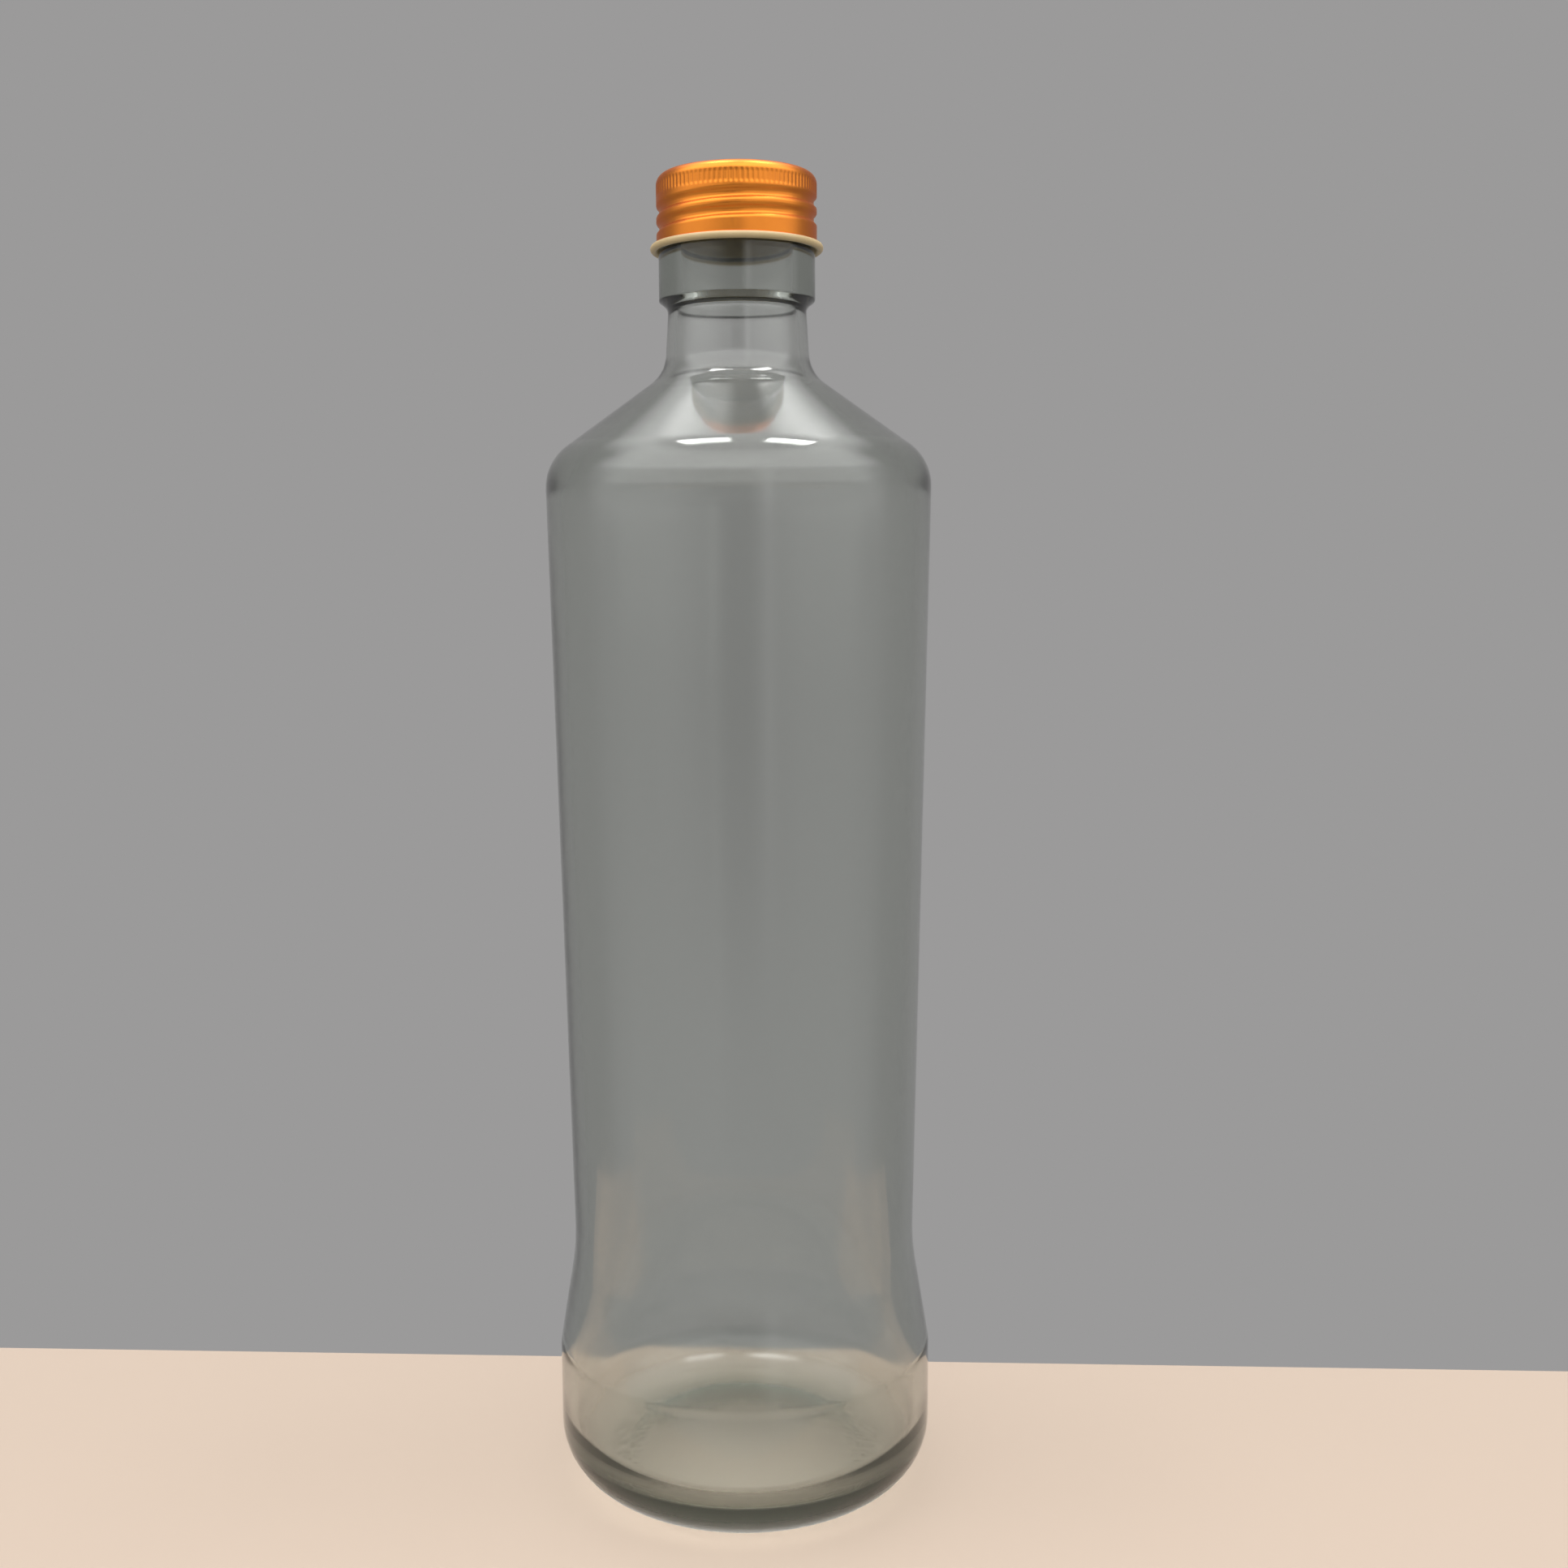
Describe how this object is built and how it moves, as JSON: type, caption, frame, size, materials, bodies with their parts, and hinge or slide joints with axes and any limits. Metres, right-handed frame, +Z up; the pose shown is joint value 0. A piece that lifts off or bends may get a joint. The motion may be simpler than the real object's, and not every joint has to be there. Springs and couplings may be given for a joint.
{
  "type": "water bottle",
  "caption": "Clear glass water bottle with a waisted body, sloping shoulder, ringed neck and a rolled aluminium screw cap with a curled rim and sealing liner.",
  "frame": {"origin": "centre of the base, on the plane that the bottle stands on", "axes": "+Z up along the bottle's axis; -Y is the front, the side that is seen in the main view, and +X is to its right"},
  "size_m": [0.0772, 0.0772, 0.2645],
  "materials": {
    "clear_glass": "clear moulded soda-lime glass, faintly hazy",
    "gold_aluminium": "orange-gold lacquered sheet, satin, with a cream lacquer on the inner face that shows on the curled rim",
    "liner_foam": "matte foamed polyethylene"
  },
  "bodies": {
    "bottle": {"glass_bottle": "clear_glass"},
    "liner": {"cap_liner": "liner_foam"},
    "cap": {"cap_shell": "gold_aluminium"}
  },
  "joints": [
    {"name": "cap_lift", "type": "slide", "parent": "bottle", "child": "liner", "axis": [0, 0, 1], "range_m": [0, 0.01518]},
    {"name": "cap_turn", "type": "hinge", "parent": "liner", "child": "cap", "pos_m": [0, 0, 0.2628], "axis": [0, 0, 1], "range_deg": [0, 1710]}
  ],
  "couplings": [
    {"joint": "cap_lift", "follows": "cap_turn", "m_per_rad": 0.00050532}
  ]
}
